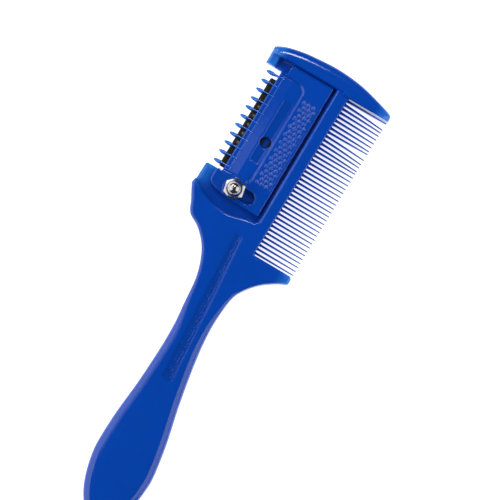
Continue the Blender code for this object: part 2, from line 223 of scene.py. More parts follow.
def raised_outline():
    """The spine, the hilt with its curved step and lower guard, and the handle, as one outline."""
    step = curve_through([(-13.6, -3.3), (-10.0, -5.8), (-4.0, -8.0), (0.0, -8.45), (4.0, -8.1), (8.0, -6.9),
                          (12.4, -6.15)])
    right = curve_through([(33.75, -18.6), (33.3, -19.7), (30.0, -21.3), (25.0, -25.0), (21.0, -29.8),
                           (19.0, -34.5), *handle_side(1)])
    left = curve_through([*handle_side(-1)[-2::-1], (4.0, -33.0), (0.6, -24.0), (-4.5, -18.2), (-9.3, -15.2),
                          (-11.6, -11.0), (-14.0, -6.5), (LEFT, -5.3), (-14.3, -3.2)])
    return [*step, (13.2, -5.3), (13.2, 51.0), (FINE_ROOT_X[0], 51.0), (FINE_ROOT_X[1], -15.9), (18.3, -16.5),
            (32.7, -16.5), (33.4, -16.8), (33.75, -17.5), *right, *left]


def crest():
    """The bow's outer edge."""
    return curve_through([(-14.0, 51.4), (-13.3, 52.5), (-10.0, 54.0), (-5.0, 55.2), (0.0, 55.9), (10.0, TOP),
                          (20.0, 55.6), (30.0, 53.1), (33.8, 51.8), (RIGHT, 50.9)])


def carrier_outline():
    """The carrier's plate: a lip on its blade side, and a tab round the nut."""
    heel = curve_through([(1.0, -4.0), (-3.5, -3.4), (-8.0, -2.3), (-9.3, -1.0), (-9.6, 0.6)])
    turn = np.radians(np.arange(180, 89, -15))
    corner = np.stack([-3.5 + 1.5 * np.cos(turn), 48.1 + 1.5 * np.sin(turn)], axis=1)
    return [(CARRIER_RIGHT, 49.6), (CARRIER_RIGHT, -4.0), *heel, (-9.6, 3.2), (-8.8, 4.0), (-7.4, 4.0),
            (-7.4, 45.7), (-5.0, 45.7), *corner]


def pocket_outline():
    """The carrier's pocket, open to the blade side, with a large radius at its far end."""
    near, far = np.radians(np.arange(-90, 1, 15)), np.radians(np.arange(0, 91, 10))
    return [*np.stack([1.9 + 2.0 * np.cos(near), 6.3 + 2.0 * np.sin(near)], axis=1),
            *np.stack([0.2 + 3.7 * np.cos(far), 41.4 + 3.6 * np.sin(far)], axis=1), (-8.0, 45.3), (-8.0, 4.3)]


# Heights and surfaces ----------------------------------------------------------------------------


def rounding(d, wide, deep):
    """How far an elliptical edge lies below its level: deep at distance nought inside, nought at wide."""
    t = np.clip(d / wide, 0, 1)
    return deep * (1 - np.sqrt(np.clip(1 - (1 - t) ** 2, 0, 1)))


def ease(t):
    """A smooth step from nought to one."""
    t = np.clip(t, 0, 1)
    return t * t * (3 - 2 * t)


def ripple(x, y, waves, shortest, longest, seed):
    """A smooth random pattern from about -1 to 1: a sum of plane waves in random directions."""
    draw = np.random.default_rng(seed)
    turns, phases = draw.uniform(0, math.tau, waves), draw.uniform(0, math.tau, waves)
    lengths = draw.uniform(shortest, longest, waves)
    total = sum(np.cos(math.tau * (x * math.cos(t) + y * math.sin(t)) / length + p)
                for t, p, length in zip(turns, phases, lengths))
    return total / math.sqrt(waves / 2)


def drawn_to(x, y, distance, step):
    """Grid points near a line, moved square to it onto the line or one step to either side, so that a
    crease follows the line and not the grid."""
    d = distance(x, y)
    near = np.abs(d) < 1.5 * step
    a, b, h = x[near], y[near], 0.01
    slope_x = (distance(a + h, b) - distance(a - h, b)) / (2 * h)
    slope_y = (distance(a, b + h) - distance(a, b - h)) / (2 * h)
    size = np.maximum(np.hypot(slope_x, slope_y), 0.5)
    move = np.round(d[near] / step) * step - d[near]
    x, y = x.copy(), y.copy()
    x[near], y[near] = a + move * slope_x / size, b + move * slope_y / size
    return x, y


def border_edges(triangles, count):
    """The sides that only one triangle uses, for triangles over count points."""
    edges = np.concatenate([triangles[:, [0, 1]], triangles[:, [1, 2]], triangles[:, [2, 0]]])
    return edges[~np.isin(edges[:, 0] * count + edges[:, 1], edges[:, 1] * count + edges[:, 0])]


def relief_solid(xs, ys, inside, top, bottom, creases, step):
    """A closed solid between two heights, top(x, y) and bottom(x, y), over the part of a grid where
    inside(x, y) is above nought. Each square is cut along the diagonal whose ends are nearest in height, and
    the open border is walled. A triangle that hangs on at one corner only is dropped. Returns the points, and
    the triangles and the wall quads as two groups of faces."""
    x, y = np.meshgrid(xs, ys)
    for line in [*creases, inside]:
        x, y = drawn_to(x, y, line, step)
    d = inside(x, y)
    high, low = top(x, y), bottom(x, y)
    key = (high + 1.3 * low + 4 * np.clip(d / step, -2, 2)).ravel()
    number = np.arange(x.size).reshape(x.shape)
    a, b, c, e = (number[rows, columns].ravel() for rows, columns in (
        (slice(None, -1), slice(None, -1)), (slice(None, -1), slice(1, None)),
        (slice(1, None), slice(1, None)), (slice(1, None), slice(None, -1))))
    along = (np.abs(key[a] - key[c]) < np.abs(key[b] - key[e]))[:, None]
    first = np.where(along, np.stack([a, b, c], 1), np.stack([a, b, e], 1))
    second = np.where(along, np.stack([a, c, e], 1), np.stack([b, c, e], 1))
    triangles = np.concatenate([first, second])
    flat = d.ravel()
    triangles = triangles[(flat[triangles] > -0.05 * step).all(axis=1)]
    centre_x, centre_y = x.ravel()[triangles].mean(axis=1), y.ravel()[triangles].mean(axis=1)
    border = (flat[triangles] < 0.05 * step).all(axis=1)
    border[border] = inside(centre_x[border], centre_y[border]) < 0
    triangles = triangles[~border]
    on_line = np.abs(flat) < 0.05 * step
    pinched = np.ones(1, bool)
    while pinched.any():
        ends = np.bincount(border_edges(triangles, x.size).ravel(), minlength=x.size)
        pinched = (ends > 2)[triangles].any(axis=1)
        loose = pinched & on_line[triangles].all(axis=1)
        if pinched.any() and not loose.any():
            raise RuntimeError("The border touches itself at a point")
        triangles = triangles[~loose]
    kept, triangles = np.unique(triangles, return_inverse=True)
    triangles = triangles.reshape(-1, 3)
    count = len(kept)
    px, py = x.ravel()[kept], y.ravel()[kept]
    points = np.concatenate([np.stack([px, py, z.ravel()[kept]], 1) for z in (high, low)])
    p, q = border_edges(triangles, count).T
    walls = np.stack([q, p, p + count, q + count], axis=1)
    return points, [np.concatenate([triangles, triangles[:, ::-1] + count]), walls]


def tubes(rings):
    """Closed solids from an array [piece, station, point round the section, xyz]: quads between stations and
    a flat cap at each end."""
    pieces, stations, around = rings.shape[:3]
    number = np.arange(pieces * stations * around).reshape(pieces, stations, around)
    turned = np.roll(number, -1, axis=2)
    sides = np.stack([number[:, :-1], turned[:, :-1], turned[:, 1:], number[:, 1:]], axis=-1).reshape(-1, 4)
    return rings.reshape(-1, 3), [sides, number[:, 0, ::-1].copy(), number[:, -1].copy()]


def turned(radius, z, corners=None, count=192):
    """A solid of revolution through profile rows radius, z, whose first and last rows are on the axis. With
    corners, a function of the angle, no row reaches further out than that."""
    angle = np.radians(NUT_CORNER_DEG) + math.tau * np.arange(count) / count
    r = np.repeat(np.asarray(radius, float)[:, None], count, axis=1)
    if corners is not None:
        r = np.minimum(r, corners(angle)[None, :])
    rings = np.stack([r * np.cos(angle), r * np.sin(angle),
                      np.repeat(np.asarray(z, float)[:, None], count, axis=1)], axis=-1)
    return tubes(rings[None])


def superellipse(around, power):
    """Points of a rounded unit square: cosine and sine with their size raised to 2 / power."""
    t = math.tau * (np.arange(around) + 0.5) / around
    c, s = np.cos(t), np.sin(t)
    return np.sign(c) * np.abs(c) ** (2 / power), np.sign(s) * np.abs(s) ** (2 / power)


def hexagon_reach(flats):
    """How far a hexagon reaches at an angle: half its flats over the cosine from the nearest flat."""
    start = math.radians(NUT_CORNER_DEG)
    return lambda angle: flats / 2 / np.cos((angle - start) % (math.pi / 3) - math.pi / 6)


# Pieces ------------------------------------------------------------------------------------------


def to_frame(points):
    """Points in millimetres from the screw axis, in the frame's metres."""
    return (points * MM + np.array([SCREW.x, SCREW.y, 0.0])).astype(np.float32)


def outward(points, groups):
    """The faces turned so that the volume they enclose is above nought."""
    total = 0.0
    for group in groups:
        a = points[group[:, 0]]
        for i in range(1, group.shape[1] - 1):
            total += np.einsum("ij,ij->", a, np.cross(points[group[:, i]], points[group[:, i + 1]]))
    return groups if total > 0 else [group[:, ::-1] for group in groups]


def add_piece(name, points, groups, node, finish, slot, sharp_deg=38.0, **marks):
    """A piece that stands for a frame node and moves with the body it belongs to. Each mark is an attribute
    from 0 to 1 on the points, which the finish reads: thin, painted light shining through the plastic, or the
    blade's bright ground edge; dull, painted shade in recesses; or dash."""
    groups = outward(points, groups)
    mesh = bpy.data.meshes.new(name)
    mesh.vertices.add(len(points))
    mesh.vertices.foreach_set("co", to_frame(points).ravel())
    corners = np.concatenate([group.ravel() for group in groups]).astype(np.int32)
    sizes = np.concatenate([np.full(len(group), group.shape[1]) for group in groups])
    starts = np.concatenate([[0], np.cumsum(sizes)[:-1]]).astype(np.int32)
    mesh.loops.add(len(corners))
    mesh.loops.foreach_set("vertex_index", corners)
    mesh.polygons.add(len(sizes))
    mesh.polygons.foreach_set("loop_start", starts)
    mesh.update(calc_edges=True)
    mesh.validate()
    mesh.shade_smooth()
    mesh.set_sharp_from_angle(angle=math.radians(sharp_deg))
    for mark, values in marks.items():
        mesh.attributes.new(mark, "FLOAT", "POINT").data.foreach_set("value", values.astype(np.float32))
    mesh.materials.append(finish)
    piece = bpy.data.objects.new(name, mesh)
    bpy.context.scene.collection.objects.link(piece)
    bodies = frame["record"]["behaviour"]["bodies"]
    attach(piece, next(body for body, nodes in bodies.items() if node in nodes))
    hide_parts(node)
    return piece


# Finishes ----------------------------------------------------------------------------------------


def start_material(name):
    """A material with its nodes, its links and its shader."""
    made = bpy.data.materials.get(name) or bpy.data.materials.new(name)
    made.use_nodes = True
    nodes, links = made.node_tree.nodes, made.node_tree.links
    nodes.clear()
    shader = nodes.new("ShaderNodeBsdfPrincipled")
    output = nodes.new("ShaderNodeOutputMaterial")
    links.new(shader.outputs["BSDF"], output.inputs["Surface"])
    return made, nodes, links, shader


def noise(nodes, links, scale, detail=4.0, rough=0.5):
    """A noise pattern on Object coordinates, its scale in cycles per metre."""
    place = nodes.new("ShaderNodeTexCoord")
    pattern = nodes.new("ShaderNodeTexNoise")
    pattern.inputs["Scale"].default_value = scale
    pattern.inputs["Detail"].default_value = detail
    pattern.inputs["Roughness"].default_value = rough
    links.new(place.outputs["Object"], pattern.inputs["Vector"])
    return pattern.outputs["Fac"]


def spread(nodes, links, value, low, high):
    """A pattern's 0.3 to 0.7 carried to low to high."""
    scaled = nodes.new("ShaderNodeMapRange")
    for socket, number in (("From Min", 0.3), ("From Max", 0.7), ("To Min", low), ("To Max", high)):
        scaled.inputs[socket].default_value = number
    links.new(value, scaled.inputs["Value"])
    return scaled.outputs["Result"]


def mixed(nodes, links, share, first, second):
    """Two colours mixed, where a colour may be a value or a socket and share a number or a socket."""
    mix = nodes.new("ShaderNodeMix")
    mix.data_type = "RGBA"
    for socket, value in ((mix.inputs[0], share), (mix.inputs[6], first), (mix.inputs[7], second)):
        if isinstance(value, bpy.types.NodeSocket):
            links.new(value, socket)
        else:
            socket.default_value = value
    return mix.outputs[2]


def bump(nodes, links, shader, height, distance, strength):
    """A bump from a height pattern."""
    made = nodes.new("ShaderNodeBump")
    made.inputs["Strength"].default_value = strength
    made.inputs["Distance"].default_value = distance
    links.new(height, made.inputs["Height"])
    links.new(made.outputs["Normal"], shader.inputs["Normal"])


def cobalt_plastic(colours):
    """Glossy moulded plastic: clouded a little in colour, lighter where it is thin as painted light shining
    through it, darker as painted shade in recesses, with a faint swell.
    """
    made, nodes, links, shader = start_material("cobalt_plastic")
    deep = (*colours.plastic, 1.0)
    clouded = mixed(nodes, links, spread(nodes, links, noise(nodes, links, 90.0), 0.0, 0.35),
                    deep, (*[c * 0.8 for c in colours.plastic], 1.0))
    # Painted shade: where this mark is set, the plastic is darkened to stand for shade in recesses.
    dull = nodes.new("ShaderNodeAttribute")
    dull.attribute_name = "dull"
    clouded = mixed(nodes, links, dull.outputs["Fac"], clouded, (*[c * 0.5 for c in colours.plastic], 1.0))
    # Painted light: where this mark is set, the plastic is lightened to stand for light shining through it.
    thin = nodes.new("ShaderNodeAttribute")
    thin.attribute_name = "thin"
    links.new(mixed(nodes, links, thin.outputs["Fac"], clouded, (*colours.lit_through_plastic, 1.0)),
              shader.inputs["Base Color"])
    links.new(spread(nodes, links, noise(nodes, links, 700.0), 0.07, 0.13), shader.inputs["Roughness"])
    bump(nodes, links, shader, noise(nodes, links, 260.0, 2.0), 0.0002, 0.10)
    shader.inputs["IOR"].default_value = 1.52
    return made


def plated_steel(name, colour, smooth, rough):
    """Plated metal with a fine unevenness of polish."""
    made, nodes, links, shader = start_material(name)
    shader.inputs["Metallic"].default_value = 1.0
    tint = spread(nodes, links, noise(nodes, links, 500.0), 0.0, 0.5)
    links.new(mixed(nodes, links, tint, (*colour, 1.0), (*[c * 0.82 for c in colour], 1.0)),
              shader.inputs["Base Color"])
    links.new(spread(nodes, links, noise(nodes, links, 1200.0), smooth, rough), shader.inputs["Roughness"])
    bump(nodes, links, shader, noise(nodes, links, 900.0, 3.0), 0.0001, 0.05)
    return made


def blade_steel(colours):
    """Dark coated steel, brushed along the blade, with brighter ground edges and plain gold dashes."""
    made, nodes, links, shader = start_material("dark_blade_steel")
    shader.inputs["Metallic"].default_value = 0.85
    place = nodes.new("ShaderNodeTexCoord")
    stretch = nodes.new("ShaderNodeMapping")
    stretch.inputs["Scale"].default_value = (6000.0, 120.0, 1.0)
    brushed = nodes.new("ShaderNodeTexNoise")
    brushed.inputs["Scale"].default_value = 1.0
    links.new(place.outputs["Object"], stretch.inputs["Vector"])
    links.new(stretch.outputs["Vector"], brushed.inputs["Vector"])
    dark = mixed(nodes, links, spread(nodes, links, brushed.outputs["Fac"], 0.0, 1.0),
                 (*colours.blade, 1.0), (*[c * 1.9 for c in colours.blade], 1.0))
    ground = nodes.new("ShaderNodeAttribute")
    ground.attribute_name = "thin"
    print_mark = nodes.new("ShaderNodeAttribute")
    print_mark.attribute_name = "dash"
    with_edge = mixed(nodes, links, ground.outputs["Fac"], dark, (0.16, 0.16, 0.17, 1.0))
    links.new(mixed(nodes, links, print_mark.outputs["Fac"], with_edge, (0.34, 0.27, 0.21, 1.0)),
              shader.inputs["Base Color"])
    links.new(spread(nodes, links, brushed.outputs["Fac"], 0.28, 0.45), shader.inputs["Roughness"])
    return made


def studio_white(name, colour, glow):
    """A plain matt surface, very faintly uneven, lit a little from within like a light table."""
    made, nodes, links, shader = start_material(name)
    links.new(mixed(nodes, links, spread(nodes, links, noise(nodes, links, 3.0), 0.0, 0.3),
                    (*colour, 1.0), (*[c * 0.98 for c in colour], 1.0)), shader.inputs["Base Color"])
    shader.inputs["Roughness"].default_value = 0.9
    shader.inputs["Specular IOR Level"].default_value = 0.1
    shader.inputs["Emission Color"].default_value = (1.0, 1.0, 1.0, 1.0)
    shader.inputs["Emission Strength"].default_value = glow
    return made


# Settings ----------------------------------------------------------------------------------------


class CombSizes(bpy.types.PropertyGroup):
    """Sizes a user may change."""

    edge: FloatProperty(name="Edge radius", description="Rounding of the hilt and spine", default=1.2 * MM,
                        min=0.2 * MM, max=2.0 * MM, precision=5, unit="LENGTH")
    handle_edge: FloatProperty(name="Handle edge", description="Rounding along the handle", default=2.4 * MM,
                               min=0.5 * MM, max=4.0 * MM, precision=5, unit="LENGTH")
    crown: FloatProperty(name="Crown", description="How much the handle's face swells", default=0.35 * MM,
                         min=0.0, max=1.0 * MM, precision=5, unit="LENGTH")
    bow_edge: FloatProperty(name="Bow rounding", description="Width of the bow's outer rounding",
                            default=3.4 * MM, min=1.0 * MM, max=5.5 * MM, precision=5, unit="LENGTH")
    groove: FloatProperty(name="Groove depth", description="Depth of the groove down the handle",
                          default=0.2 * MM, min=0.0, max=1.0 * MM, precision=5, unit="LENGTH")
    bump: FloatProperty(name="Grip bump", description="Height of a bump of the grip band", default=0.33 * MM,
                        min=0.0, max=0.35 * MM, precision=5, unit="LENGTH")


class CombColours(bpy.types.PropertyGroup):
    """Colours a user may change."""

    plastic: FloatVectorProperty(name="Plastic", description="The moulded plastic", subtype="COLOR", size=3,
                                 default=(0.0003, 0.070, 0.52), min=0.0, max=1.0)
    # Painted light: the lighter colour the plastic takes where light is painted as shining through it.
    lit_through_plastic: FloatVectorProperty(name="Thin plastic", description="The plastic where it is thin",
                                      subtype="COLOR", size=3, default=(0.03, 0.26, 0.90), min=0.0, max=1.0)
    blade: FloatVectorProperty(name="Blade", description="The blade's coating", subtype="COLOR", size=3,
                               default=(0.022, 0.022, 0.025), min=0.0, max=1.0)
    chrome: FloatVectorProperty(name="Chrome", description="The dome nut", subtype="COLOR", size=3,
                                default=(0.46, 0.45, 0.44), min=0.0, max=1.0)
    zinc: FloatVectorProperty(name="Zinc", description="The screw and washer", subtype="COLOR", size=3,
                              default=(0.62, 0.62, 0.64), min=0.0, max=1.0)


class StudioSettings(bpy.types.PropertyGroup):
    """The stage."""

    floor: FloatVectorProperty(name="Floor", description="The floor's colour", subtype="COLOR", size=3,
                               default=(0.93, 0.93, 0.93), min=0.0, max=1.0)
    key: FloatProperty(name="Key light", description="Power of the light beyond the bow", unit="POWER",
                       default=1.05, min=0.0, max=100.0)
    side: FloatProperty(name="Side light", description="Power of the light on the blade's side", unit="POWER",
                        default=6.3, min=0.0, max=100.0)
    fill: FloatProperty(name="Fill light", description="Power of the light on the fine comb's side",
                        unit="POWER", default=6.3, min=0.0, max=100.0)
    panel: FloatProperty(name="Panel", description="Power of the dim panel mirrored in slopes", unit="POWER",
                         default=0.2, min=0.0, max=10.0)
    top: FloatProperty(name="Top light", description="Power of the soft light beyond the bow", unit="POWER",
                       default=2.2, min=0.0, max=100.0)
    room: FloatProperty(name="Room", description="Brightness of the room", default=0.05, min=0.0, max=2.0)
    glow: FloatProperty(name="Floor glow", description="Brightness of the floor's own light, which softens "
                        "shadows", default=0.85, min=0.0, max=1.0)
    distance: FloatProperty(name="Camera distance", description="From the comb to the camera", unit="LENGTH",
                            default=0.75, min=0.2, max=3.0)


# Operators ---------------------------------------------------------------------------------------


class COMB_OT_moulding(bpy.types.Operator):
    """The one moulding: handle, hilt, spine, floor and bow"""

    bl_idname = "comb.moulding"
    bl_label = "Moulding"

    def execute(self, context):
        """The top is the highest of the floor, the lobe by the nut, the end block, the raised hilt and
        handle, and the bow, each over its own outline, where its edge falls along a quarter of an ellipse.
        The handle's level swells as one less the square of the place across it. The groove is a smooth
        step of the distance inside its outline, with a stipple of summed waves on its bed. The back is
        flat, its edge rounded alike, and lies higher under the thin floor and in the screw's pocket."""
        sizes, colours = context.scene.comb_sizes, context.scene.comb_colours
        edge_radius, handle_radius, bow_width = sizes.edge / MM, sizes.handle_edge / MM, sizes.bow_edge / MM
        crown_height, groove_depth = sizes.crown / MM, sizes.groove / MM
        step = 0.28
        raised = polygon_distance(raised_outline())
        bow = polygon_distance([(-14.0, 49.9), *crest(), (RIGHT, 49.0), (16.0, 49.0), (16.0, 49.9)])
        bow_outer = polygon_distance([(-14.0, 20.0), *crest(), (RIGHT, 20.0)])
        floor = polygon_distance([(-7.5, -9.5), (13.8, -9.5), (13.8, 50.6), (-12.0, 50.6), (-12.0, 45.7),
                                  (-7.5, 45.7)])
        lobe = polygon_distance([(-14.2, -5.0), (-5.0, -9.0), (-5.0, 3.9), (-13.5, 3.9), (-14.0, 3.4)])
        block = polygon_distance([(-14.0, 45.7), (-10.4, 45.7), (-10.4, 52.0), (-14.0, 52.0)])
        grooved = polygon_distance(
            [(handle_middle(y) + side * half, y) for side, rows in (
                (1, ((-12.7, 0.6), (-13.4, 1.5), (-40.0, 2.0), (-70.0, 2.3), (-71.0, 1.5))),
                (-1, ((-71.0, 1.5), (-70.0, 2.3), (-40.0, 2.0), (-13.4, 1.5), (-12.7, 0.6))))
             for y, half in rows])
        head_pocket = hexagon_distance(7.6, 0.0)

        def whole(x, y):
            return np.max([raised(x, y), bow(x, y), floor(x, y), lobe(x, y), block(x, y)], axis=0)

        def inside(x, y):
            return np.minimum(whole(x, y), np.hypot(x, y) - BORE_RADIUS)

        def grip(y):
            return ease((-32.0 - y) / 26.0)

        def groove_relief(x, y):
            d = grooved(x, y)
            grain = 0.5 + 0.5 * np.tanh(1.5 * ripple(x, y, 18, 0.8, 1.2, 7))
            return groove_depth * (0.3 * grain * ease((d - 0.2) / 0.5) - ease(d / 2.6 + 0.4))

        def top(x, y):
            every = whole(x, y)
            d_raised, d_bow, d_block = raised(x, y), bow(x, y), block(x, y)
            sunk = 0.16 * np.clip(-4.5 - x, 0, 6) * ease((y - 45.2) / 0.8)
            height = FLOOR_TOP - sunk - rounding(every, 0.4, 0.3)
            swell = LOBE_TOP - rounding(every, 1.3, 0.9)
            height = np.where(lobe(x, y) > 0, np.maximum(height, swell), height)
            ramp = BLOCK_TOP + (HILT_TOP - BLOCK_TOP) * ease((y - 47.5) / 4.0)
            ramp = ramp - rounding(every, 1.2, 1.0) - rounding(-10.4 - x, 0.4, 0.3)
            height = np.where(d_block > -0.02, np.maximum(height, ramp), height)
            hold = grip(y)
            across = np.clip((x - handle_middle(y)) / 11.0, -1, 1)
            level = HILT_TOP + hold * (0.25 + crown_height * (1 - across ** 2))
            edge = edge_radius + hold * (handle_radius - edge_radius)
            edge = edge - 0.7 * edge_radius * ease((x - 14.0) / 2.0) * ease((y + 17.5) / 2.0)
            pad = level - rounding(d_raised, edge * (1 + 0.3 * hold), edge) + groove_relief(x, y)
            height = np.where(d_raised > -0.02, np.maximum(height, pad), height)
            inner = y - np.where(x < 16.0, 49.9, 49.0)
            arch = BOW_TOP - rounding(bow_outer(x, y), bow_width, 2.2) - rounding(inner, 0.5, 0.35)
            return np.where(d_bow > -0.02, np.maximum(height, arch), height)

        def bottom(x, y):
            hold = grip(y)
            under = rounding(whole(x, y), 0.5 + 2.4 * hold, 0.5 + 1.7 * hold)
            solid = np.max([raised(x, y), bow(x, y), lobe(x, y), block(x, y)], axis=0)
            under = under + PANEL_BACK * ease(-solid / 0.5)
            return np.where(head_pocket(x, y) > -0.02, HEAD_POCKET_TOP, under)

        xs = np.arange(LEFT - 2 * step, RIGHT + 2 * step, step)
        ys = np.concatenate([np.arange(BOTTOM - 0.6, -112.0, 0.3), np.arange(-112.0, -73.0, 0.6),
                             np.arange(-73.0, TOP + 2 * step, step)])
        creases = [head_pocket, block, bow, raised]
        points, groups = relief_solid(xs, ys, inside, top, bottom, creases, step)
        x, y, z = points.T
        # Painted light: the far left and right ends of the moulding are lightened, most near its outline, as
        # light shining through the plastic.
        ends = np.maximum(ease((-7.5 - x) / 4.0) * ease((y + 7.0) / 6.0), ease((x - 28.0) / 5.0))
        thin = ends * (0.35 + 0.65 * np.exp(-np.clip(whole(x, y), 0, None) / 1.1))
        specks = ripple(x, y, 18, 0.8, 1.2, 7) < 0
        # Painted shade: the groove's bed is darkened, more in its stipple's troughs.
        dull = (0.25 + 0.35 * specks) * ease(grooved(x, y) / 0.6) * (z > LOBE_TOP)
        add_piece("moulding", points, groups, "comb_body", cobalt_plastic(colours), "cobalt_plastic",
                  thin=thin, dull=dull)
        return {"FINISHED"}


class COMB_OT_fine_teeth(bpy.types.Operator):
    """The fine comb's tapering teeth"""

    bl_idname = "comb.fine_teeth"
    bl_label = "Fine teeth"

    def execute(self, context):
        """Each section is a superellipse. Its width falls from root to tip, flares where it meets the spine
        and closes along a circle at the tip; its height falls evenly."""
        index = np.arange(FINE_TEETH)[:, None, None]
        share = index / (FINE_TEETH - 1)
        s = np.concatenate([[-0.06, 0.0, 0.012, 0.03, 0.06, 0.12], np.linspace(0.25, 0.94, 6),
                            [0.975, 0.99, 0.9985]])[None, :, None]
        root = FINE_ROOT_X[0] + share * (FINE_ROOT_X[1] - FINE_ROOT_X[0])
        tip = FINE_TIP_X[0] + share * (FINE_TIP_X[1] - FINE_TIP_X[0])
        lean = np.array([FINE_TIP_LEAN.get(k + 1, 0.0) for k in range(FINE_TEETH)])[:, None, None]
        across, up = superellipse(14, 3.0)
        along = np.clip(s, 0, 1)
        close = np.sqrt(np.clip(1 - (np.clip(s - 0.965, 0, None) / 0.035) ** 2, 0, 1))
        half = (0.46 - 0.235 * along + 0.22 * np.exp(-np.clip(s, 0, None) / 0.02)) * close
        low, high = 0.8 + 1.2 * along, 5.4 - 1.2 * along
        x = root + s * (tip - root) + 0 * across
        y = FINE_FIRST - index * FINE_PITCH + lean * along ** 1.4 + half * across
        z = (low + high) / 2 + (high - low) / 2 * (0.4 + 0.6 * close) * up + 0 * x
        points, groups = tubes(np.stack([x, y, z], axis=-1))
        # Painted light: the teeth grow lighter towards their tips, as light shining through them.
        thin = np.broadcast_to(0.18 * along, x.shape).ravel()
        add_piece("fine_teeth", points, groups, "comb_body", cobalt_plastic(context.scene.comb_colours),
                  "cobalt_plastic", thin=thin)
        return {"FINISHED"}


class COMB_OT_guard_teeth(bpy.types.Operator):
    """The leaf-shaped guard teeth below the blade"""

    bl_idname = "comb.guard_teeth"
    bl_label = "Guard teeth"

    def execute(self, context):
        """The half width swells from the root as a smooth step of the reach, and closes at the tip as the
        root of one less its fourth power. The back falls and the underside rises towards the tip."""
        index = np.arange(GUARD_TEETH)[:, None, None]
        reach = np.concatenate([[-0.25], np.linspace(0, 0.9, 14), [0.94, 0.97, 0.99, 1.0]])[None, :, None]
        clipped = np.clip(reach, 0, 1)
        across, up = superellipse(20, 2.3)
        half = (0.32 + 0.5 * ease(clipped / 0.6)) * np.sqrt(1.0005 - clipped ** 4)
        y = GUARD_FIRST - index * GUARD_PITCH + half * across
        x = GUARD_ROOT_X + reach * (GUARD_TIP_X - GUARD_ROOT_X) + 0 * y
        low, high = 1.2 + 0.8 * clipped, FLOOR_TOP - 0.05 - 0.5 * clipped ** 3
        z = (low + high) / 2 + (high - low) / 2 * up + 0 * y
        points, groups = tubes(np.stack([x, y, z], axis=-1))
        # Painted light and shade: the leaves grow lighter towards their tips as light shining through them,
        # and darker along their sides.
        thin = (0.5 + 0.35 * clipped - 0.3 * np.abs(across) ** 3 + 0 * y).ravel()
        add_piece("guard_teeth", points, groups, "comb_body", cobalt_plastic(context.scene.comb_colours),
                  "cobalt_plastic", thin=thin)
        return {"FINISHED"}


class COMB_OT_carrier(bpy.types.Operator):
    """The sliding carrier plate over the blade"""

    bl_idname = "comb.carrier"
    bl_label = "Carrier"

    def execute(self, context):
        """A flat plate over its outline, less the slot and the window. Inside the pocket's outline it eases
        down to a slope that is straight in x from the blade's lip to the pocket's floor, and inside the
        channel's outline further down. A grip bump eases down from its middle to its rim, where the rim is a
        rounded diamond: across and along, each over its half width, to the power 1.4, add up to one."""
        colours, bump_height = context.scene.comb_colours, context.scene.comb_sizes.bump / MM
        step = 0.18
        plate = polygon_distance(carrier_outline())
        pocket = polygon_distance(pocket_outline())
        channel = box_distance(-1.2, 2.4, 12.3, 37.0)
        band = box_distance(4.8, 10.9, 5.6, 40.4)

        def window(x, y):
            return np.hypot(x - WINDOW[0], y - WINDOW[1]) - WINDOW[2]

        def inside(x, y):
            return np.min([plate(x, y), slot_distance(x, y), window(x, y)], axis=0)

        def grip_bumps(x, y):
            row = np.clip(np.round((y - BUMP_FIRST) / BUMP_PITCH), 0, BUMP_ROWS - 1)
            shift = BUMP_COLUMN + BUMP_ACROSS / 2 * (row % 2)
            column = np.clip(np.round((x - shift) / BUMP_ACROSS), 0, 2)
            across = np.abs(x - shift - column * BUMP_ACROSS) / BUMP_HALF_ACROSS
            along = np.abs(y - BUMP_FIRST - row * BUMP_PITCH) / BUMP_HALF_ALONG
            away = (across ** 1.4 + along ** 1.4) ** (1 / 1.4)
            return bump_height * (ease(np.clip(1 - away, 0, 1) * 0.75 + 0.25) - ease(0.25))

        def top(x, y):
            d_pocket = pocket(x, y)
            height = PLATE_TOP - 0.15 * ease((-3.4 - x) / 5.5) * ease((5.2 - y) / 0.8)
            height = height - 0.06 * ease(band(x, y) / 0.6 + 0.5) + grip_bumps(x, y)
            slope = LIP_TOP + (POCKET_FLOOR - LIP_TOP) * np.clip((x + 5.5) / 3.5, 0, 1)
            slope = slope - 0.12 * ease((-5.5 - x) / 0.25)
            low = slope - (POCKET_FLOOR - CHANNEL_FLOOR) * np.clip(channel(x, y) / 0.55 + 0.5, 0, 1)
            wall = np.clip(d_pocket / 0.8, 0, 1)
            height = np.where(d_pocket > 0, height + (low - height) * ease(wall), height)
            height = height - rounding(plate(x, y), 0.5, 0.4)
            rim = slot_distance(x, y)
            height = height - 0.3 * np.clip(1 - rim / 0.32, 0, 1) + 0.08 * ease(1 - np.abs(rim - 0.55) / 0.3)
            seat = np.hypot(x, y)
            height = height + 0.1 * ease((4.5 - seat) / 0.25)
            return height - 0.25 * np.clip(1 - window(x, y) / 0.25, 0, 1)

        def bottom(x, y):
            return np.full(np.shape(x), CARRIER_Z) + rounding(plate(x, y), 0.2, 0.15)

        xs = BUMP_COLUMN + BUMP_ACROSS / 12 * np.arange(-95, 47)
        ys = BUMP_FIRST + BUMP_PITCH / 9 * np.arange(-60, 238)
        creases = [channel, pocket, slot_distance, window]
        points, groups = relief_solid(xs, ys, inside, top, bottom, creases, step)
        x, y = points[:, 0], points[:, 1]
        # Painted shade: the channel's floor is darkened.
        add_piece("carrier_plate", points, groups, "blade_carrier", cobalt_plastic(colours), "cobalt_plastic",
                  sharp_deg=52.0, dull=0.3 * ease(channel(x, y) / 0.5 + 0.5))
        return {"FINISHED"}


